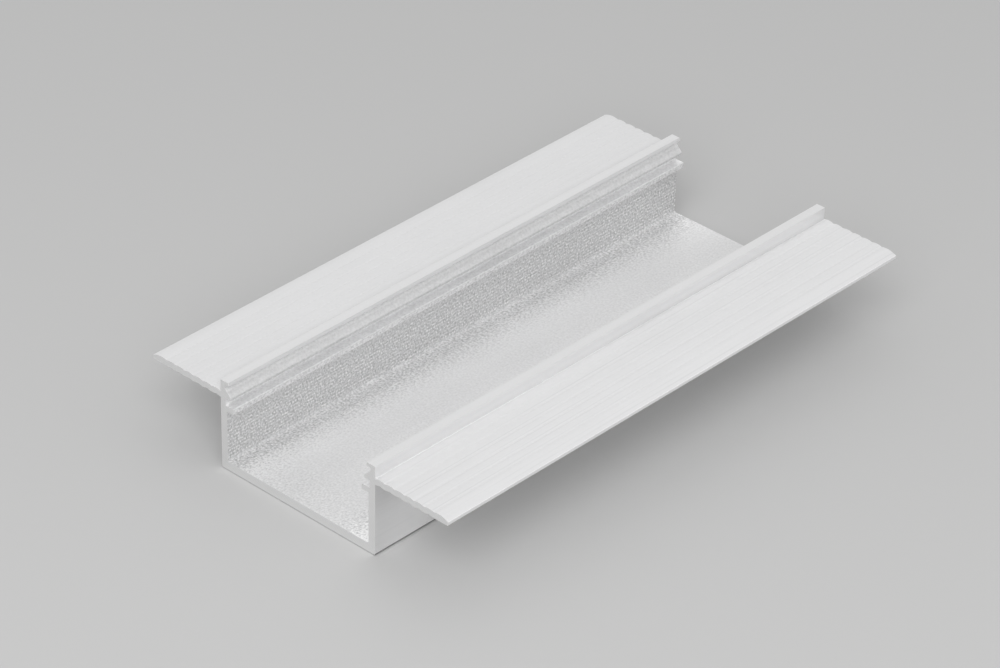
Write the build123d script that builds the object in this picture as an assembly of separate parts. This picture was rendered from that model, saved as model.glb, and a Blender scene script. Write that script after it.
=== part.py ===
from build123d import *
import os

# A cut length of aluminium channel for a strip of lights that is let into a plastered
# board. It lies on its floor with the open side up. Each wall carries a keyed flange
# outside, which filler covers, and an upstanding lip that the filler is drawn off to.
# Inside, each wall has a nose, a barb and a ledge that hold the cover.
# It is one extruded bar, in millimetres: X across, Y along the bar and Z up, with the
# origin in the middle of the underside.

length = 150.0

# Channel
channel_width = 48.0
channel_height = 23.55
wall = 2.0
floor_thickness = 2.45
base_edge_radius = 0.4
floor_fillet = 0.4

# Lip and nose at the top of each wall. A reach is measured inwards from the inner face
# of the wall, and a groove depth is measured into the wall from the same face.
lip_overhang = 0.45
lip_edge_radius = 0.15
nose_reach = 0.65
nose_height = 0.95
nose_face = 0.35
nose_radius = 0.2

# Groove under the nose, where a snap-in cover catches
snap_groove_depth = 0.55
snap_groove_height = 0.85
snap_groove_radius = 0.3

# Barb, with a sloping top and a flat underside
barb_reach = 1.35
barb_face = 0.65
barb_radius = 0.2

# Slot between barb and ledge, where a flat cover slides in
cover_slot_height = 1.9
cover_slot_depth = 0.4
cover_slot_radius = 0.15

# Ledge that the flat cover lies on
ledge_drop = 6.25
ledge_reach = 2.1
ledge_thickness = 1.45
ledge_nose_radius = 0.3
ledge_edge_radius = 0.2

# Flange, with shallow scallops that key the filler. Those underneath are set half a
# pitch along from those on top, so that the sheet of the flange is a gentle wave.
lip_height = 2.9
flange_reach = 21.75
flange_thickness = 1.8
scallop_pitch = 2.87
scallop_depth = 0.26

# Smooth strip along the flange's free edge, rounded down to a thinner nose
edge_strip = 4.3
edge_nose = 1.05
edge_crown = 0.45
edge_radius = 0.3

outer_face = channel_width / 2
inner_face = outer_face - wall
flange_top = channel_height - lip_height
flange_underside = flange_top - flange_thickness
nose_underside = channel_height - nose_height
ledge_top = channel_height - ledge_drop
barb_underside = ledge_top + cover_slot_height
ledge_underside = ledge_top - ledge_thickness


def channel_half():
    """Right half of the channel: half the floor, and the wall with its inside features."""
    slope_top = nose_underside - snap_groove_height
    corners = [
        ((0, 0), 0),
        ((outer_face, 0), base_edge_radius),
        ((outer_face, channel_height), lip_edge_radius),
        ((inner_face - lip_overhang, channel_height), lip_edge_radius),
        ((inner_face - nose_reach, nose_underside + nose_face), nose_radius),
        ((inner_face - nose_reach, nose_underside), nose_radius),
        ((inner_face + snap_groove_depth, nose_underside), snap_groove_radius),
        ((inner_face + snap_groove_depth, slope_top), snap_groove_radius),
        ((inner_face - barb_reach, barb_underside + barb_face), barb_radius),
        ((inner_face - barb_reach, barb_underside), barb_radius),
        ((inner_face + cover_slot_depth, barb_underside), cover_slot_radius),
        ((inner_face + cover_slot_depth, ledge_top), cover_slot_radius),
        ((inner_face - ledge_reach, ledge_top), ledge_nose_radius),
        ((inner_face - ledge_reach, ledge_underside), ledge_edge_radius),
        ((inner_face, ledge_underside), ledge_edge_radius),
        ((inner_face, floor_thickness), floor_fillet),
        ((0, floor_thickness), 0),
    ]
    points = [point for point, radius in corners]
    radii = [radius for point, radius in corners]
    with BuildSketch() as half:
        with BuildLine():
            FilletPolyline(*points, radius=radii, close=True)
        make_face()
    return half.sketch


def flange():
    """Right flange, rooted in the middle of the wall."""
    count = max(1, round((flange_reach - edge_strip) / scallop_pitch))
    pitch = (flange_reach - edge_strip) / count
    root = outer_face - wall / 2
    tip = outer_face + flange_reach
    strip_start = outer_face + count * pitch
    valley = flange_top - scallop_depth
    hollow = flange_underside + scallop_depth
    with BuildSketch() as sheet:
        with BuildLine():
            # Underside, from the root out to the tip
            Line((root, flange_underside), (outer_face, flange_underside))
            TangentArc((outer_face, flange_underside), (outer_face + pitch / 2, hollow), tangent=(1, 0))
            for place in range(count - 1):
                start = outer_face + (place + 0.5) * pitch
                SagittaArc((start, hollow), (start + pitch, hollow), -scallop_depth)
            TangentArc((strip_start, flange_underside), (strip_start - pitch / 2, hollow), tangent=(-1, 0))
            FilletPolyline(
                (strip_start, flange_underside),
                (tip, flange_underside),
                (tip, flange_underside + edge_nose),
                radius=[edge_radius],
            )
            # Top, back from the tip to the root
            SagittaArc((tip, flange_underside + edge_nose), (strip_start, valley), -edge_crown)
            for place in range(count):
                start = outer_face + (count - place) * pitch
                SagittaArc((start, valley), (start - pitch, valley), -scallop_depth)
            Polyline((outer_face, valley), (root, valley), (root, flange_underside))
        make_face()
    return sheet.sketch


def flanged_channel():
    """Both halves of the section, drawn out to the length of the bar."""
    right = channel_half() + flange()
    section = right + mirror(right, Plane.YZ)
    return extrude(Plane.XZ * section, length / 2, both=True)


os.makedirs("parts", exist_ok=True)
export_step(flanged_channel(), "parts/flanged_channel.step")
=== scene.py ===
# %% [markdown]
# # A cut length of aluminium channel
#
# This lesson dresses one real object: a short piece of extruded channel for recessed strip
# lights, lying on a pale table with its open side up. The imported model gives the size and
# the place. Blender adds the looks: the fine ribs inside, the satin skin and the sawn ends.
# The first cell loads the imported model as a fixed frame.

# %% Load the frame
import math
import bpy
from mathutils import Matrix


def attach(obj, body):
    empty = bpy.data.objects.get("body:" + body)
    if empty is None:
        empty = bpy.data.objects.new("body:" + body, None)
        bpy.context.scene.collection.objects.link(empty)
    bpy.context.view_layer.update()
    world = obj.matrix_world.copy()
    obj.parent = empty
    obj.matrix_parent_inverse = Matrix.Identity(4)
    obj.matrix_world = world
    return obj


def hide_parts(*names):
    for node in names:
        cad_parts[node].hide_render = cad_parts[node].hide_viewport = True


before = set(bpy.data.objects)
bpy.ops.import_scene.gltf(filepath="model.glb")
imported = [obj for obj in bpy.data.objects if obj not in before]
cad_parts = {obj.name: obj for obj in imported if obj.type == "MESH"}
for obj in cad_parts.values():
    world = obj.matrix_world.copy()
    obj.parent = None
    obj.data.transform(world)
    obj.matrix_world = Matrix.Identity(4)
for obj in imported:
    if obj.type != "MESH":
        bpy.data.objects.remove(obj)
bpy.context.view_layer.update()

from types import SimpleNamespace

import bpy
from mathutils import Matrix, Vector

MM = 0.001
scene = bpy.context.scene

# %% [markdown]
# ## Where the camera stands
#
# The view was worked out from the straight edges of the photograph: a long lens, looking
# down at about 33 degrees, turned 43 degrees and rolled by one. The camera's own axes are
# written as a matrix, because three angles and a roll are easy to mix up.

# %% Camera
TURN, DROP, ROLL = math.radians(42.803), math.radians(33.123), math.radians(1.122)
AIM = Vector((-8.8576, -0.9851, 8.1167)) * MM
DISTANCE = 1020.392 * MM
SENSOR_WIDTH, FOCAL_LENGTH = 36, 159.379
NEAREST_SEEN = 10 * MM

ahead = Vector((-math.sin(TURN) * math.cos(DROP), math.cos(TURN) * math.cos(DROP), -math.sin(DROP)))
level = Vector((math.cos(TURN), math.sin(TURN), 0))
upward = level.cross(ahead)
right = level * math.cos(ROLL) + upward * math.sin(ROLL)
above = upward * math.cos(ROLL) - level * math.sin(ROLL)
turned = Matrix((right, above, -ahead)).transposed().to_4x4()

camera = bpy.data.objects.new("camera", bpy.data.cameras.new("camera"))
camera.data.sensor_width = SENSOR_WIDTH
camera.data.lens = FOCAL_LENGTH
camera.data.clip_start = NEAREST_SEEN
camera.matrix_world = Matrix.Translation(AIM - ahead * DISTANCE) @ turned
scene.collection.objects.link(camera)
scene.camera = camera
scene.view_settings.view_transform = "Standard"
print("camera at, mm:", [round(v / MM, 1) for v in camera.location])

# %% [markdown]
# ## Two small helpers for every node tree
#
# Shader maths reads best as Python. A Strand is one value that runs through a tree, and
# the usual operators on it add Math nodes. A Board is the tree that they are laid out on:
# its one method adds any other node, first with its settings and then with what goes
# into its sockets.

# %% Node helpers
class Strand:
    """One output socket. Sums and products of strands and numbers add Math nodes."""

    def __init__(self, board, socket):
        self.board, self.socket = board, socket

    def maths(self, operation, *values):
        return self.board.node("ShaderNodeMath", {"operation": operation}, dict(enumerate(values)))

    def __add__(self, other): return self.maths("ADD", self, other)
    def __radd__(self, other): return self.maths("ADD", other, self)
    def __sub__(self, other): return self.maths("SUBTRACT", self, other)
    def __rsub__(self, other): return self.maths("SUBTRACT", other, self)
    def __mul__(self, other): return self.maths("MULTIPLY", self, other)
    def __rmul__(self, other): return self.maths("MULTIPLY", other, self)
    def __truediv__(self, other): return self.maths("DIVIDE", self, other)
    def __abs__(self): return self.maths("ABSOLUTE", self)
    def __lt__(self, other): return self.maths("LESS_THAN", self, other)
    def __gt__(self, other): return self.maths("GREATER_THAN", self, other)
    def power(self, other): return self.maths("POWER", self, other)
    def sine(self): return self.maths("SINE", self)
    def cosine(self): return self.maths("COSINE", self)
    def larger(self, other): return self.maths("MAXIMUM", self, other)

    def fade(self, start, end):
        """Goes smoothly from 0 where the strand is at start to 1 where it is at end."""
        low, high, swap = (start, end, (0, 1)) if start < end else (end, start, (1, 0))
        return self.board.node(
            "ShaderNodeMapRange", {"interpolation_type": "SMOOTHSTEP"},
            {"Value": self, "From Min": low, "From Max": high, "To Min": swap[0], "To Max": swap[1]})


class Board:
    """A node tree, with one method that adds a node and wires it up."""

    def __init__(self, tree):
        self.tree = tree

    def socket(self, sockets, key):
        """A socket by its place, its identifier or its name."""
        if isinstance(key, int):
            return sockets[key]
        return next((s for s in sockets if s.identifier == key), None) or sockets[key]

    def node(self, kind, settings=None, sockets=None, out=0):
        made = self.tree.nodes.new(kind)
        for name, value in (settings or {}).items():
            setattr(made, name, value)
        for key, value in (sockets or {}).items():
            target = self.socket(made.inputs, key)
            if isinstance(value, Strand):
                self.tree.links.new(value.socket, target)
            else:
                target.default_value = value
        return Strand(self, self.socket(made.outputs, out)) if len(made.outputs) else None

    def twin(self, strand, out):
        """Another output of the node that a strand comes from."""
        return Strand(self, self.socket(strand.socket.node.outputs, out))


print("helpers:", Strand.__name__, "and", Board.__name__)

# %% [markdown]
# ## The section of the bar
#
# Every extrusion is one outline, pressed through a die. The outline could be read off the
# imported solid, but drawing it again from its sizes shows how it is built up, and gives
# finer arcs. All sizes are in millimetres, as on a die drawing: X across and Z up.

# %% Sizes of the section
length = 150.0
channel_width, channel_height, wall = 48.0, 23.55, 2.0
floor_thickness, base_edge_radius, floor_fillet = 2.45, 0.4, 0.4
lip_overhang, lip_edge_radius = 0.45, 0.15
nose_reach, nose_height, nose_face, nose_radius = 0.65, 0.95, 0.35, 0.2
snap_groove_depth, snap_groove_height, snap_groove_radius = 0.55, 0.85, 0.3
barb_reach, barb_face, barb_radius = 1.35, 0.65, 0.2
cover_slot_height, cover_slot_depth, cover_slot_radius = 1.9, 0.4, 0.15
ledge_drop, ledge_reach, ledge_thickness = 6.25, 2.1, 1.45
ledge_nose_radius, ledge_edge_radius = 0.3, 0.2
lip_height, flange_reach, flange_thickness = 2.9, 21.75, 1.8
scallop_pitch, scallop_depth = 2.87, 0.26
edge_strip, edge_nose, edge_crown, edge_radius = 4.3, 1.05, 0.45, 0.3

outer_face = channel_width / 2
inner_face = outer_face - wall
tip = outer_face + flange_reach
flange_top = channel_height - lip_height
flange_underside = flange_top - flange_thickness
nose_underside = channel_height - nose_height
slope_top = nose_underside - snap_groove_height
ledge_top = channel_height - ledge_drop
ledge_underside = ledge_top - ledge_thickness
ledge_tip = inner_face - ledge_reach
barb_underside = ledge_top + cover_slot_height
barb_top = barb_underside + barb_face
print("flange top", flange_top, "ledge top", ledge_top, "barb underside", barb_underside)

# %% [markdown]
# A corner of the outline is rounded by its own radius, and a scallop is a shallow arc
# between two points. Both become short straight steps, small enough that light runs over
# them without a break.

# %% Rounding corners and drawing arcs
ARC_STEP = math.radians(9)
BOW_STEPS = 10


def bow(start, end, rise, steps=BOW_STEPS):
    """Points of an arc that swells to the right of the way from start to end."""
    a, b = Vector(start), Vector(end)
    half, onward = (b - a).length / 2, (b - a).normalized()
    side = Vector((onward.y, -onward.x))
    radius = (half * half + rise * rise) / (2 * rise)
    sweep = math.atan2(half, radius - rise)
    centre = (a + b) / 2 - side * (radius - rise)
    turns = [sweep * (2 * k / steps - 1) for k in range(steps + 1)]
    return [tuple(centre + side * radius * math.cos(t) + onward * radius * math.sin(t)) for t in turns]


def rounded(corners):
    """Points of an open outline whose corners are (x, z, radius)."""
    points = []
    for before, here, after in zip([corners[0], *corners[:-1]], corners, [*corners[1:], corners[-1]]):
        corner, radius = Vector(here[:2]), here[2]
        if not radius:
            points.append(tuple(corner))
            continue
        back, on = (Vector(before[:2]) - corner).normalized(), (Vector(after[:2]) - corner).normalized()
        half_angle = back.angle(on) / 2
        centre = corner + (back + on).normalized() * radius / math.sin(half_angle)
        first = corner + back * radius / math.tan(half_angle) - centre
        last = corner + on * radius / math.tan(half_angle) - centre
        turn = math.pi - 2 * half_angle
        steps = max(2, math.ceil(turn / ARC_STEP))
        for k in range(steps + 1):
            share = k / steps
            mixed = first * math.sin((1 - share) * turn) + last * math.sin(share * turn)
            points.append(tuple(centre + mixed / math.sin(turn)))
    return points


print("a right-angled corner gets", len(rounded([(0, 0, 0), (1, 0, 0.2), (1, 1, 0)])) - 2, "points")

# %% [markdown]
# The right half runs round anticlockwise: along the underside, up to the flange, out and
# back over its scallops, over the lip and down past nose, barb and ledge to the floor.
# The scallops underneath lie half a pitch along from those on top, so the sheet of the
# flange waves, and filler keys into it.

# %% The flange's two wavy faces
scallops = round((flange_reach - edge_strip) / scallop_pitch)
pitch = (flange_reach - edge_strip) / scallops
strip_start = outer_face + scallops * pitch
valley, hollow = flange_top - scallop_depth, flange_underside + scallop_depth

beside_root = (outer_face - pitch / 2, hollow), (outer_face + pitch / 2, hollow)
half_bump = bow(*beside_root, scallop_depth, 2 * BOW_STEPS)[BOW_STEPS:]
under = list(half_bump)
for place in range(scallops - 1):
    start = outer_face + (place + 0.5) * pitch
    under += bow((start, hollow), (start + pitch, hollow), scallop_depth)[1:]
under += [(strip_start - (x - outer_face), z) for x, z in reversed(half_bump[:-1])]

over = bow((tip, flange_underside + edge_nose), (strip_start, valley), edge_crown, 2 * BOW_STEPS)
for place in range(scallops):
    start = outer_face + (scallops - place) * pitch
    over += bow((start, valley), (start - pitch, valley), scallop_depth)[1:]
print("scallops on a flange:", scallops, " pitch, mm:", round(pitch, 3))

# %% [markdown]
# With the flange's faces drawn, the rest of the half is a list of corners, each with its
# radius. Points of the flange's arcs join the list as corners that aren't rounded.

# %% The right half of the outline
def plain(points):
    return [(x, z, 0) for x, z in points]


right_half = rounded([
    (0, 0, 0),
    (outer_face, 0, base_edge_radius),
    *plain(under),
    (tip, flange_underside, edge_radius),
    *plain(over),
    (outer_face, channel_height, lip_edge_radius),
    (inner_face - lip_overhang, channel_height, lip_edge_radius),
    (inner_face - nose_reach, nose_underside + nose_face, nose_radius),
    (inner_face - nose_reach, nose_underside, nose_radius),
    (inner_face + snap_groove_depth, nose_underside, snap_groove_radius),
    (inner_face + snap_groove_depth, slope_top, snap_groove_radius),
    (inner_face - barb_reach, barb_top, barb_radius),
    (inner_face - barb_reach, barb_underside, barb_radius),
    (inner_face + cover_slot_depth, barb_underside, cover_slot_radius),
    (inner_face + cover_slot_depth, ledge_top, cover_slot_radius),
    (ledge_tip, ledge_top, ledge_nose_radius),
    (ledge_tip, ledge_underside, ledge_edge_radius),
    (inner_face, ledge_underside, ledge_edge_radius),
    (inner_face, floor_thickness, floor_fillet),
    (0, floor_thickness, 0),
])[1:-1]
print("points on the half:", len(right_half))

# %% [markdown]
# Low on the inside of each wall the die has left fine ribs, less than a millimetre apart.
# They need points of their own, so the plain stretch of wall is divided evenly. The ribs
# themselves come later, as a wave in the node tree.

# %% Even points on the inner wall, and the whole outline
RIB_LOW, RIB_PITCH, RIB_COUNT = 2.95, 0.88, 11
RIB_HIGH = RIB_LOW + RIB_COUNT * RIB_PITCH
RIB_STEPS = 10
TOUCHING = 1e-6


def with_wall_points(points):
    """Adds points along the ribbed stretch of the inner wall, from the top down."""
    fine = [(inner_face, RIB_HIGH - RIB_PITCH * k / RIB_STEPS) for k in range(RIB_COUNT * RIB_STEPS + 1)]
    out = []
    for here, after in zip(points, points[1:]):
        out.append(here)
        if abs(here[0] - inner_face) < TOUCHING and here[1] - after[1] > RIB_HIGH - RIB_LOW:
            out += fine
    return out + points[-1:]


right_half = with_wall_points(right_half)
outline = right_half + [(-x, z) for x, z in reversed(right_half)]


def outward(index):
    """Unit vector out of the metal at one point of the outline."""
    a, b = Vector(outline[index - 1]), Vector(outline[(index + 1) % len(outline)])
    return Vector((b.y - a.y, a.x - b.x)).normalized()


area = sum(a[0] * b[1] - b[0] * a[1] for a, b in zip(outline, outline[1:] + outline[:1])) / 2
print("outline points:", len(outline))
print("area, mm2:", round(area, 2), " bar volume, mm3:", round(area * length))

# %% [markdown]
# ## Satin aluminium
#
# The real skin is pale, matt aluminium as it left the die, evened by an etch. It has three
# things in it: die lines drawn out along the bar, an etched grain that is coarser on the
# inside, and soft clouds of lighter and darker metal. The tip face of each flange is also a
# little smoother and gets a painted highlight. All are read from Object coordinates in
# millimetres, so they sit still on the piece from every side.

# %% Coordinates in millimetres
def start_material(name):
    """A fresh node material, its board, and X, Y and Z of the point in millimetres."""
    material = bpy.data.materials.new(name)
    material.use_nodes = True
    material.node_tree.nodes.clear()
    board = Board(material.node_tree)
    split = board.node("ShaderNodeSeparateXYZ", sockets={0: board.node("ShaderNodeTexCoord", out="Object")})
    across, along, height = (board.twin(split, n) / MM for n in range(3))
    return material, board, across, along, height


def noise(board, x, y, z, scale=1.0, detail=2.0, roughness=0.5):
    """Soft noise about 0.5, with scale in cycles per millimetre."""
    spot = board.node("ShaderNodeCombineXYZ", sockets={0: x, 1: y, 2: z})
    return board.node("ShaderNodeTexNoise", sockets={
        "Vector": spot, "Scale": scale, "Detail": detail, "Roughness": roughness})


def finish_metal(board, tint, shade, roughness, relief):
    """Ends a material: a grey times a tint, a roughness and a bump from a height in millimetres."""
    grey = board.node("ShaderNodeCombineColor", sockets={0: shade, 1: shade, 2: shade})
    colour = board.node("ShaderNodeMix", {"data_type": "RGBA", "blend_type": "MULTIPLY"}, {
        "Factor_Float": 1.0, "A_Color": (*tint, 1), "B_Color": grey}, out="Result_Color")
    bump = board.node("ShaderNodeBump", sockets={"Height": relief, "Distance": MM, "Strength": 1.0})
    metal = board.node("ShaderNodeBsdfPrincipled", sockets={
        "Base Color": colour, "Metallic": 1.0, "Roughness": roughness, "Normal": bump})
    board.node("ShaderNodeOutputMaterial", sockets={"Surface": metal})


print("materials so far:", len(bpy.data.materials))

# %% [markdown]
# A look that belongs to one place, such as the face of the ledge, needs a mask: a value
# that is 1 in that place and 0 elsewhere. Each mask here is a product of fades beside the
# faces of the section, so it moves with the section's sizes. Most fades are a few tenths
# of a millimetre wide, which is too soft to show as a line of its own.

# %% Places on the section
def places(side, height):
    """Masks for places, from the distance to the middle plane and the height."""
    inside = (side.fade(inner_face + 0.8, inner_face + 0.3)
              * height.fade(nose_underside + 0.3, nose_underside - 0.4)
              * height.fade(floor_thickness - 1.25, floor_thickness - 0.85))
    slope = (inside * height.fade(barb_top - 0.1, barb_top + 0.1)
             * height.fade(slope_top + 0.25, slope_top + 0.05))
    slope_high = slope * height.fade(slope_top - 0.75, slope_top - 0.5)
    return SimpleNamespace(
        inside=inside, slope=slope, slope_high=slope_high,
        slope_band=slope * height.fade(slope_top - 1.25, slope_top - 0.95) * (1 - slope_high),
        bed=(inside * side.fade(inner_face - 0.25, inner_face - 0.45)
             * height.fade(floor_thickness + 0.55, floor_thickness + 0.05)),
        deep_wall=(inside * side.fade(inner_face - 0.5, inner_face - 0.3)
                   * height.fade(ledge_underside + 0.1, ledge_underside - 0.15)),
        ledge_face=(inside * side.fade(ledge_tip + 0.4, ledge_tip + 0.2)
                    * height.fade(ledge_underside - 0.05, ledge_underside + 0.1)
                    * height.fade(ledge_top - 0.35, ledge_top - 0.55)),
        ledge_edge=(inside * side.fade(ledge_tip + 0.7, ledge_tip + 0.4)
                    * height.fade(ledge_top - 0.5, ledge_top - 0.3)
                    * height.fade(ledge_top + 0.3, ledge_top + 0.1)),
        slot=(inside * height.fade(ledge_top - 0.7, ledge_top - 0.1)
              * height.fade(barb_underside, barb_underside - 0.1)),
        barb_nose=(inside * height.fade(barb_underside - 0.2, barb_underside + 0.05)
                   * height.fade(barb_top + 0.15, barb_top - 0.15)),
        nose=(side.fade(inner_face, inner_face - 0.2)
              * height.fade(nose_underside - 0.05, nose_underside + 0.1)
              * height.fade(channel_height - 0.1, channel_height - 0.25)),
        outer_wall=(side.fade(outer_face - 0.2, outer_face - 0.03)
                    * side.fade(outer_face + 0.2, outer_face + 0.1)
                    * height.fade(flange_underside + 0.05, flange_underside - 0.15)),
        foot=(side.fade(outer_face - 0.7, outer_face - 0.3)
              * height.fade(base_edge_radius + 0.15, base_edge_radius - 0.02)),
        root=(side.fade(outer_face - 0.1, outer_face) * side.fade(outer_face + 0.6, outer_face + 0.1)
              * height.fade(flange_top - 0.45, flange_top - 0.35)
              * height.fade(flange_top + 0.45, flange_top + 0.05)),
        lip_face=(side.fade(outer_face - 0.2, outer_face - 0.05)
                  * height.fade(flange_top - 0.25, flange_top + 0.95)),
        lip_top=height.fade(channel_height - 0.15, channel_height - 0.01),
        keyed=side.fade(outer_face, outer_face + 0.4) * height.fade(flange_top - 1.05, flange_top - 0.75),
        scalloped=side.fade(strip_start + 0.05, strip_start - 0.25),
        strip=side.fade(strip_start - 0.25, strip_start + 1.55),
        # rim: the tip face of each flange, which gets a painted highlight
        rim=side.fade(tip - 0.13, tip - 0.01))


print("ledge tip", ledge_tip, "mm from the middle, barb top", round(barb_top, 2), "mm up")

# %% [markdown]
# Die lines are noise that is stretched 150 times along the bar, and scuffs are the same
# but shorter. The grain is fine noise with nearly equal scales each way. On the ribbed
# stretch of the inner wall, dashes break each rib up: a finer noise and a slanting wave,
# which is bent a little so that it doesn't look printed. On the flange, two thin lines of
# painted shade follow each valley, one on either side of it.

# %% Patterns in the metal
DIE_LINES, SCUFFS = (3.0, 0.02), (1.4, 0.09)
GRAIN, GRAIN_STRETCH, CLOUDS = 2.0, 0.8, 0.045
DASH_PITCH, DASH_SCALES = 0.72, (2.2, 1.7)
SLANT_SHARE, SLANT_BEND, WANDER = 0.06, 9.0, 0.4
VALLEY_SHADE_REACH, VALLEY_SHADE_SHARPNESS, VALLEY_SHADE_BREAKS = 0.5184, 60, (0.42, 0.62)
RIB_FADE = 0.2


def streaks(board, across, along, height, scales, detail, roughness=0.5):
    """Noise with one scale over the section and a smaller one along the bar."""
    fine, long = scales
    return noise(board, across * fine, along * long, height * fine, 1.0, detail, roughness)


def rib_patterns(board, across, along, height, deep_wall):
    """Where the ribs are, how far up each rib a point lies, and the dashes along them."""
    ribbed = deep_wall * height.fade(RIB_LOW - RIB_FADE, RIB_LOW) * height.fade(RIB_HIGH + RIB_FADE, RIB_HIGH)
    rib = ((height - RIB_LOW) * (math.tau / RIB_PITCH)).cosine() * -0.5 + 0.5
    wander = noise(board, across, along * WANDER, height * WANDER, detail=1.0)
    slant = (along * (math.tau / DASH_PITCH) + height * (math.pi / RIB_PITCH) + wander * SLANT_BEND).sine()
    broken = noise(board, across, along * DASH_SCALES[0], height * DASH_SCALES[1], detail=0.0) - 0.5
    dashes = broken + slant * SLANT_SHARE
    return ribbed, rib, dashes


def valley_shade_lines(wave, die_lines):
    """Thin lines of painted shade beside each valley of the flange, broken up where the die lines are faint.
    """
    reach = VALLEY_SHADE_REACH * math.tau / pitch
    inner, outer = (((wave + turn).cosine() * 0.5 + 0.5).power(VALLEY_SHADE_SHARPNESS) for turn in (-reach, reach))
    return (inner + outer) * die_lines.fade(*VALLEY_SHADE_BREAKS)


print("dashes every", DASH_PITCH, "mm, seams", VALLEY_SHADE_REACH, "mm from each valley")

# %% [markdown]
# The photograph shows more shades on the skin than a plain soft light gives it. They are
# painted in as light and shade: each stretch of the section has its own painted tone, a
# share of white that is added to the whole, darker where shade falls in corners and
# recesses and lighter where light falls. Distances are taken from the inner wall, from the
# outer wall and from the front cut.

# %% Painted light and shade on the skin
NEAR_CUT = (17, 3)
SHADED_CORNER = (8.0, 17.0)
EVEN_LEFT, EVEN_RIGHT = 0.26, 0.62


def inside_light_and_shade(at, height, from_wall, from_front, on_right):
    """Painted light and shade on the inner walls and the floor."""
    above_bed = height - floor_thickness
    # The wall below the ledge is painted darker, painted shade inside the channel, with painted light near
    # its foot and higher up, and more painted shade near the front cut.
    wall_tone = (above_bed.fade(2.55, 7.05) * 0.02 + above_bed.fade(1.25, 0.55) * 0.06
                 - from_front.fade(40, 5) * 0.015 - 0.125)
    # The floor: painted light beside the walls, most on the right towards the front cut, and along the middle
    # of its length; painted shade in its middle near the back cut.
    bed_tone = (from_wall.fade(8, 1) * (on_right * from_front.fade(55, 15) * 0.12 + 0.035)
                + from_front.fade(147, 90) * from_front.fade(3, 25) * 0.045 - 0.03
                - from_front.fade(125, 149) * from_wall.fade(4, 12) * 0.05
                + from_front.fade(110, 135) * from_wall.fade(8, 5) * 0.02)
    # Left half of the floor only: a band of painted light about 10 mm out from the wall, painted shade beside
    # the wall, and painted light towards the front cut.
    left_bed_tone = (from_wall.fade(4.5, 9) * from_wall.fade(20, 10) * 0.075
                     - from_wall.fade(5.5, 3) * (1 - from_wall.fade(1.8, 0.4) * 0.6) * 0.09
                     + from_front.fade(45, 15) * from_wall.fade(3.5, 5.5) * from_wall.fade(14, 9) * 0.04
                     + from_front.fade(*NEAR_CUT) * from_wall.fade(1, 5) * from_wall.fade(11, 6) * 0.09)
    return at.deep_wall * wall_tone + at.bed * (bed_tone + (1 - on_right) * left_bed_tone)


def catch_light_and_shade(at, on_right):
    """Painted light and shade on nose, barb, slot and ledge."""
    # Painted light on the nose, the top of the slope, the left slot and the ledge face; painted shade on the
    # rest of the slope, a band across it, the barb's face and the ledge's edge.
    return (at.nose * 0.07 - at.slope * 0.015 + at.slope_high * 0.07 - at.slope_band * 0.03
            - at.barb_nose * 0.07 + at.slot * (1 - on_right) * 0.11
            + at.ledge_face * 0.05 - at.ledge_edge * 0.06)


def outside_light_and_shade(at, height, from_front, on_right):
    """Painted light and shade on the outer walls and the lips."""
    # The top of the outer wall near the front cut, for painted shade under the flange.
    corner = at.outer_wall * height.fade(*SHADED_CORNER) * from_front.fade(*NEAR_CUT)
    # Painted light on the outer wall from about 17 mm behind the front cut, painted shade in its corner, a
    # painted contact shadow along its foot, a thin painted shade in the left lip's root, painted light on the
    # lips' outer faces and painted shade on the lip tops.
    return (at.outer_wall * (from_front.fade(-1, 17) * 0.18 + 0.01) - corner * 0.12 - at.foot * 0.65
            - at.root * (1 - on_right) * 0.02 + at.lip_face * 0.045 - at.lip_top * 0.025)


def flange_light_and_shade(at, side, wave, valley_shade, on_right):
    """Painted light and shade on the flanges, evened against the light on each scallop."""
    past_wall = side - outer_face
    # Each scallop is painted against its own light and shade, so that it looks even.
    evened = (wave - (on_right * (EVEN_RIGHT - EVEN_LEFT) + EVEN_LEFT) * math.tau).cosine() * at.scalloped
    # Right flange: painted light by the lip's root, painted shade further out. Left flange: a little painted
    # light across its middle.
    right_tone = past_wall.fade(1.6, 0.6) * 0.03 - past_wall.fade(6, 12) * 0.008 - at.strip * 0.006
    left_tone = past_wall.fade(4.5, 6.5) * side.fade(tip - 1.75, tip - 2.75) * 0.008
    # A painted highlight on the tip face; the tops painted a little darker overall, with the thin lines of
    # painted shade beside the valleys.
    return at.rim * 0.14 - at.keyed * (
        0.02 + valley_shade * (on_right * 0.05 + 0.01) + evened * (0.0068 - on_right * 0.0008)
        + on_right * right_tone + (1 - on_right) * left_tone)


print("tones evened at", EVEN_LEFT, "and", EVEN_RIGHT, "of a scallop")

# %% [markdown]
# The skin puts masks, patterns and the painted light and shade together. The grain is
# strong on the walls, weak on the middle of the floor and a little stronger again beside
# the front cut. It also changes the roughness and the relief, so the walls glitter and the
# floor hardly does.

# %% The satin skin
SKIN_TINT, SKIN_GREY, SKIN_ROUGHNESS = (0.90, 0.90, 0.903), 0.945, 0.62
DIE_LINE_RELIEF, GRAIN_RELIEF, DASH_RELIEF = 0.004, 0.05, 0.06
MIDDLE_BLEND = 5


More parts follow.
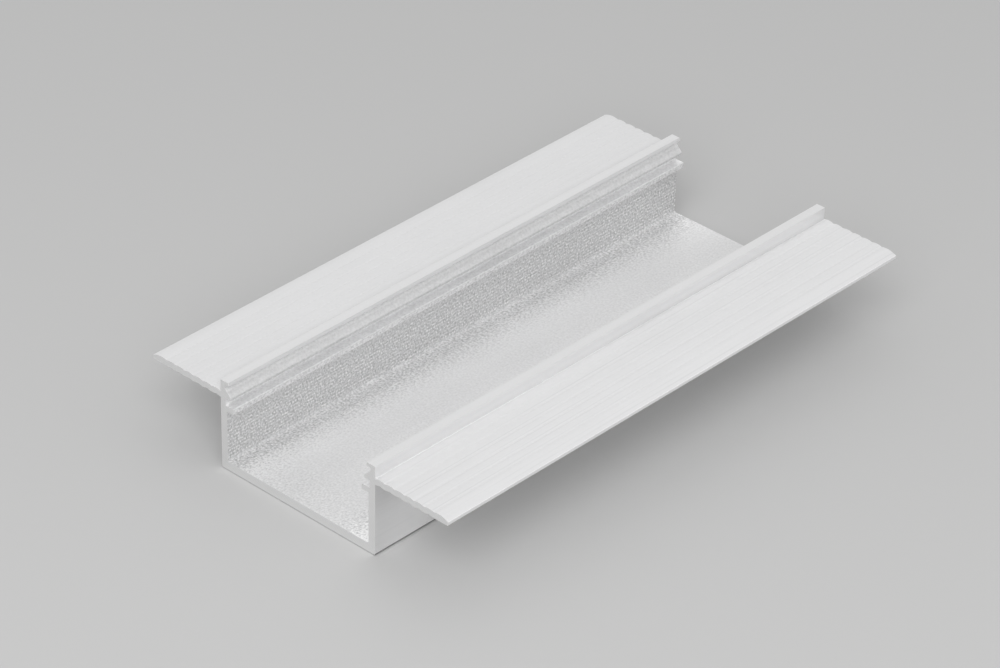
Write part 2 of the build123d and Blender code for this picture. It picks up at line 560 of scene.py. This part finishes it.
def satin_skin():
    material, board, across, along, height = start_material("satin_aluminium")
    side = abs(across)
    on_right = across.fade(-MIDDLE_BLEND, MIDDLE_BLEND)
    from_wall = inner_face - side
    from_front = along + length / 2
    at = places(side, height)

    die_lines = streaks(board, across, along, height, DIE_LINES, 3.0, 0.65)
    scuffs = streaks(board, across, along, height, SCUFFS, 2.0)
    grain = noise(board, across, along * GRAIN_STRETCH, height, GRAIN, 1.0, 0.6)
    clouds = noise(board, across, along, height, CLOUDS)
    ribbed, rib, dashes = rib_patterns(board, across, along, height, at.deep_wall)
    wave = (side - outer_face) * (math.tau / pitch)
    drawn = (die_lines - 0.5) * (1 - at.keyed * 0.8)
    smooth_bed = at.bed * (0.70 - from_wall.fade(13, 2) - from_front.fade(*NEAR_CUT) * 0.25)
    coarse = (at.inside - smooth_bed - at.barb_nose * 0.6).larger(0)

    shade = (SKIN_GREY + drawn * 0.06 + (scuffs - 0.5) * 0.02 + (clouds - 0.5) * 0.03
             + (grain - 0.5) * (coarse * (0.75 - at.slope * 0.5 - at.slot * 0.4) + 0.02)
             + ribbed * (rib * dashes * 0.75 + (rib - 0.5) * 0.11)
             # Painted light and shade, part by part:
             + inside_light_and_shade(at, height, from_wall, from_front, on_right)
             + catch_light_and_shade(at, on_right)
             + outside_light_and_shade(at, height, from_front, on_right)
             + flange_light_and_shade(at, side, wave, valley_shade_lines(wave, die_lines), on_right))
    roughness = (SKIN_ROUGHNESS + (clouds - 0.5) * 0.10 + drawn * 0.08 + (grain - 0.5) * 0.12 * coarse
                 + at.keyed * 0.3 - at.rim * 0.05)
    relief = (drawn * DIE_LINE_RELIEF + (grain - 0.5) * (coarse * GRAIN_RELIEF + 0.002)
              + ribbed * rib * dashes * DASH_RELIEF)
    finish_metal(board, SKIN_TINT, shade, roughness, relief)
    return material


satin = satin_skin()
print(satin.name, "has", len(satin.node_tree.nodes), "nodes")

# %% [markdown]
# The ends were cut on a fine circular saw. Its teeth leave shallow arcs, all about one
# far centre, and a face a little brighter and more even than the skin. The lowest edge is
# painted darker, a painted contact shadow where the cut meets the table.

# %% The sawn ends
SAW_ACROSS, SAW_BELOW = 60, 90
TOOTH_MARKS = 9.0
SAWN_TINT, SAWN_GREY, SAWN_ROUGHNESS = (0.90, 0.90, 0.90), 0.955, 0.60


def sawn_end():
    material, board, across, along, height = start_material("sawn_aluminium")
    beside, up = across + SAW_ACROSS, height + SAW_BELOW
    from_centre = (beside * beside + up * up).power(0.5)
    wander = noise(board, across, along, height, 0.35)
    teeth = (from_centre * TOOTH_MARKS + wander * 5.0).sine() * 0.5 + 0.5
    speck = noise(board, across, along, height, 3.0)
    # The last term is a painted contact shadow along the lowest edge.
    shade = SAWN_GREY + (teeth - 0.5) * 0.03 + (speck - 0.5) * 0.05 - height.fade(0.3, 0.1) * 0.3
    roughness = SAWN_ROUGHNESS + (speck - 0.5) * 0.12 + (teeth - 0.5) * 0.05
    relief = teeth * 0.002 + speck * 0.003
    finish_metal(board, SAWN_TINT, shade, roughness, relief)
    return material


sawn = sawn_end()
print(sawn.name, "has", len(sawn.node_tree.nodes), "nodes")

# %% [markdown]
# ## Drawing the bar through the die
#
# A press pushes one outline along one straight path, which is what Curve to Mesh does. So
# the outline goes in as a loop of edges, and a node tree does the press's work: it cuts
# the ribs, sweeps the loop along the bar, fills the ends, breaks their sharp edges as
# deburring does, and gives the skin and the cut faces their own finish.

# %% The outline as a loop of edges
loop = bpy.data.meshes.new("die_outline")
corners = [(x * MM, z * MM, 0) for x, z in outline]
loop.from_pydata(corners, [(k, (k + 1) % len(corners)) for k in range(len(corners))], [])
pushes = [outward(k) for k in range(len(outline))]
on_wall = [
    float(abs(abs(x) - inner_face) < TOUCHING and RIB_LOW - TOUCHING <= z <= RIB_HIGH + TOUCHING)
    for x, z in outline]
out_of_metal = loop.attributes.new("outward", "FLOAT_VECTOR", "POINT")
out_of_metal.data.foreach_set("vector", [v for p in pushes for v in (p.x, 0, p.y)])
loop.attributes.new("ribbed", "FLOAT", "POINT").data.foreach_set("value", on_wall)
bar = bpy.data.objects.new("extruded_bar", loop)
scene.collection.objects.link(bar)
print("loop edges:", len(loop.edges), " points on ribbed wall:", int(sum(on_wall)))

# %% [markdown]
# The tree has named inputs for its sizes, so the same tree could draw another length. The
# outline is the first input, because a modifier gives the object's own mesh to that one.

# %% Inputs of the press
BROKEN_EDGE, RIB_DEPTH = 0.03, 0.02


def press_inputs(tree):
    """Adds the named inputs and the output, and returns the board and a strand for each input."""
    sizes = {"Bar length": length, "Broken edge": BROKEN_EDGE,
             "Rib pitch": RIB_PITCH, "Rib depth": RIB_DEPTH, "Lowest rib": RIB_LOW}
    tree.interface.new_socket(name="Outline", in_out="INPUT", socket_type="NodeSocketGeometry")
    for name, size in sizes.items():
        socket = tree.interface.new_socket(name=name, in_out="INPUT", socket_type="NodeSocketFloat")
        socket.default_value = size * MM
    for name in ("Skin", "Cut face"):
        tree.interface.new_socket(name=name, in_out="INPUT", socket_type="NodeSocketMaterial")
    tree.interface.new_socket(name="Bar", in_out="OUTPUT", socket_type="NodeSocketGeometry")
    board = Board(tree)
    asked = board.node("NodeGroupInput")
    return board, {s.name: board.twin(asked, s.name) for s in asked.socket.node.outputs if s.name}


print("ribs", RIB_DEPTH, "mm deep, broken edge", BROKEN_EDGE, "mm")

# %% [markdown]
# Each step of the press is its own function. The ribs are cut while the outline is still
# flat, so one wave serves the whole length. The rail has four points: the two ends, and a
# step in from each where the broken edge begins. Points of the end rings then move back
# into the metal by that step.

# %% Steps of the press
RAIL_POINTS = 4


def split(board, vector):
    return board.node("ShaderNodeSeparateXYZ", sockets={0: vector})


def scaled(board, vector, factor):
    return board.node("ShaderNodeVectorMath", {"operation": "SCALE"}, {0: vector, "Scale": factor})


def attribute(board, kind, name):
    return board.node("GeometryNodeInputNamedAttribute", {"data_type": kind}, {"Name": name}, out="Attribute")


def cut_ribs(board, ask, push):
    """A wave cut into the wall of the flat outline, which becomes the profile."""
    height = board.twin(split(board, board.node("GeometryNodeInputPosition")), 1)
    wave = 0.5 - ((height - ask["Lowest rib"]) / ask["Rib pitch"] * math.tau).cosine() * 0.5
    depth = wave * attribute(board, "FLOAT", "ribbed") * ask["Rib depth"] * -1
    sides = split(board, push)
    flat_push = board.node("ShaderNodeCombineXYZ", sockets={0: board.twin(sides, 0), 1: board.twin(sides, 2)})
    ribs = board.node("GeometryNodeSetPosition", sockets={
        "Geometry": ask["Outline"], "Offset": scaled(board, flat_push, depth)})
    return board.node("GeometryNodeMeshToCurve", sockets={"Mesh": ribs})


def lay_rail(board, ask):
    """A rail along Y, turned so that the profile stands upright on it."""
    line = board.node("GeometryNodeCurvePrimitiveLine", sockets={"Start": (0, 1, 0), "End": (0, -1, 0)})
    evenly = board.node("GeometryNodeResampleCurve", sockets={"Curve": line, "Count": RAIL_POINTS})
    index = board.node("GeometryNodeInputIndex")
    side = (index < 1.5) * 2 - 1
    at_end = (index < 0.5) + (index > 2.5)
    reach = side * (ask["Bar length"] / 2 - ask["Broken edge"] + at_end * ask["Broken edge"])
    spaced = board.node("GeometryNodeSetPosition", sockets={
        "Geometry": evenly, "Position": board.node("ShaderNodeCombineXYZ", sockets={1: reach})})
    return board.node("GeometryNodeSetCurveTilt", sockets={"Curve": spaced, "Tilt": math.pi})


def break_edges(board, ask, push, swept):
    """Moves the last ring of points at each end back into the metal."""
    place = split(board, board.node("GeometryNodeInputPosition"))
    last = abs(board.twin(place, 1)) > ask["Bar length"] / 2 - ask["Broken edge"] * 0.5
    return board.node("GeometryNodeSetPosition", sockets={
        "Geometry": swept, "Selection": last, "Offset": scaled(board, push, ask["Broken edge"] * -1)})


print("steps:", cut_ribs.__name__, lay_rail.__name__, break_edges.__name__)

# %% [markdown]
# The whole tree then reads as the press works. Edges that turn by more than 32 degrees are
# kept sharp, and rounder ones are shaded smooth. A face counts as cut when its normal lies
# along the bar.

# %% The press as a node tree
SHARP_TURN, ALONG_BAR = math.radians(32), 0.9


def press_tree():
    tree = bpy.data.node_groups.new("extrusion_press", "GeometryNodeTree")
    tree.is_modifier = True
    board, ask = press_inputs(tree)
    push = attribute(board, "FLOAT_VECTOR", "outward")
    swept = board.node("GeometryNodeCurveToMesh", sockets={
        "Curve": lay_rail(board, ask), "Profile Curve": cut_ribs(board, ask, push), "Fill Caps": True})
    eased = break_edges(board, ask, push, swept)
    turn = board.node("GeometryNodeInputMeshEdgeAngle", out="Unsigned Angle")
    shaded = board.node("GeometryNodeSetShadeSmooth", {"domain": "EDGE"}, {
        "Geometry": eased, "Selection": turn > SHARP_TURN, "Shade Smooth": False})
    whole = board.node("GeometryNodeRealizeInstances", sockets={"Geometry": shaded})
    skinned = board.node("GeometryNodeSetMaterial", sockets={"Geometry": whole, "Material": ask["Skin"]})
    facing = split(board, board.node("GeometryNodeInputNormal"))
    cut = abs(board.twin(facing, 1)) > ALONG_BAR
    finished = board.node("GeometryNodeSetMaterial", sockets={
        "Geometry": skinned, "Selection": cut, "Material": ask["Cut face"]})
    board.node("NodeGroupOutput", sockets={"Bar": finished})
    return tree


press = press_tree()
print("press tree:", len(press.nodes), "nodes")

# %% [markdown]
# The modifier's inputs are set by each socket's identifier before the bar is evaluated.
# new_from_object then freezes the result as a plain mesh, and the modifier goes.

# %% Press the bar
run = bar.modifiers.new("press", "NODES")
run.node_group = press
chosen = {"Skin": satin, "Cut face": sawn}
for item in press.interface.items_tree:
    if item.in_out == "INPUT" and item.name in chosen:
        run[item.identifier] = chosen[item.name]
bpy.context.view_layer.update()
pressed = bpy.data.meshes.new_from_object(bar.evaluated_get(bpy.context.evaluated_depsgraph_get()))
bar.modifiers.clear()
bar.data = pressed
for name in ("outward", "ribbed"):
    if name in pressed.attributes:
        pressed.attributes.remove(pressed.attributes[name])
low = [min(v.co[k] for v in pressed.vertices) / MM for k in range(3)]
high = [max(v.co[k] for v in pressed.vertices) / MM for k in range(3)]
print("bar box, mm:", [round(v, 3) for v in low], [round(v, 3) for v in high])
print("faces:", len(pressed.polygons), " materials:", [m.name for m in pressed.materials])

# %% [markdown]
# ## Putting the bar in place of the solid
#
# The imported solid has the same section, so the bar stands exactly where it stood. As a
# check, each corner of the solid is measured to the nearest point of the bar's skin.

# %% Ride and replace
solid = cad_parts["flanged_channel"]
bpy.context.view_layer.update()
gaps = []
for corner in solid.data.vertices:
    spot = solid.matrix_world @ corner.co
    gaps.append((bar.closest_point_on_mesh(spot)[1] - spot).length / MM)
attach(bar, "root")
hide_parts("flanged_channel")
print("corners of the solid:", len(gaps), " farthest from the bar, mm:", round(max(gaps), 3))

# %% [markdown]
# ## The table and the light
#
# The photograph was taken on an even pale sheet, under a wide soft light. The sheet here
# is a large floor whose grey drifts a little lighter towards the front, by position on
# the floor: a painted gradient of light. It lies a hair under the bar, so that the two
# faces never fight.

# %% Floor
FLOOR_HALF, FLOOR_DROP = 3.0, 0.05 * MM
SHEET_GREY, SHEET_DRIFT, SHEET_BLUE = 0.483, 0.052, 0.998
SHEET_ROUGHNESS, SHEET_SHINE = 0.9, 0.1
AWAY_X, AWAY_Y = -0.679, 0.734
DRIFT_FROM, DRIFT_TO = 260, -240


def sheet_material():
    material, board, across, along, height = start_material("pale_sheet")
    away = along * AWAY_Y + across * AWAY_X
    # The drift is painted light, lighter towards the front of the sheet.
    grey = SHEET_GREY + away.fade(DRIFT_FROM, DRIFT_TO) * SHEET_DRIFT
    colour = board.node("ShaderNodeCombineColor", sockets={0: grey, 1: grey, 2: grey * SHEET_BLUE})
    cloth = board.node("ShaderNodeBsdfPrincipled", sockets={
        "Base Color": colour, "Roughness": SHEET_ROUGHNESS, "Specular IOR Level": SHEET_SHINE})
    board.node("ShaderNodeOutputMaterial", sockets={"Surface": cloth})
    return material


sheet = bpy.data.meshes.new("table_sheet")
ways = ((-1, -1), (1, -1), (1, 1), (-1, 1))
sheet.from_pydata([(x * FLOOR_HALF, y * FLOOR_HALF, -FLOOR_DROP) for x, y in ways], [], [(0, 1, 2, 3)])
sheet.materials.append(sheet_material())
table = bpy.data.objects.new("table_sheet", sheet)
scene.collection.objects.link(table)
print("floor", FLOOR_HALF * 2, "m wide")

# %% [markdown]
# The sky round the object is an even white, which gives the matt metal its calm look. A
# large soft box stands in front on the right, where it lights the sheet and the side of
# the bar but isn't mirrored by what faces up. Two weaker ones hang above and at the back
# left. Their strengths were found by rendering each light alone and fitting the sum to
# grey levels of the photograph.

# %% World and lamps
SKY_STRENGTH = 0.63
BOX_WIDTH = 1.6
SOFT_BOXES = {
    "front_soft_box": (26.0, (0.9, -1.2, 1.3)),
    "back_soft_box": (3.1, (-1.0, 0.9, 1.4)),
    "top_soft_box": (1.5, (0, 0, 2)),
}

world = bpy.data.worlds.new("studio")
world.use_nodes = True
world.node_tree.nodes.clear()
sky = Board(world.node_tree)
white = sky.node("ShaderNodeBackground", sockets={"Color": (1, 1, 1, 1), "Strength": SKY_STRENGTH})
sky.node("ShaderNodeOutputWorld", sockets={"Surface": white})
scene.world = world

for name, (watts, place) in SOFT_BOXES.items():
    lamp = bpy.data.objects.new(name, bpy.data.lights.new(name, "AREA"))
    lamp.data.shape, lamp.data.size, lamp.data.energy = "SQUARE", BOX_WIDTH, watts
    lamp.location = place
    lamp.rotation_euler = (-lamp.location).to_track_quat("-Z", "Y").to_euler()
    scene.collection.objects.link(lamp)
    print(name, watts, "W")
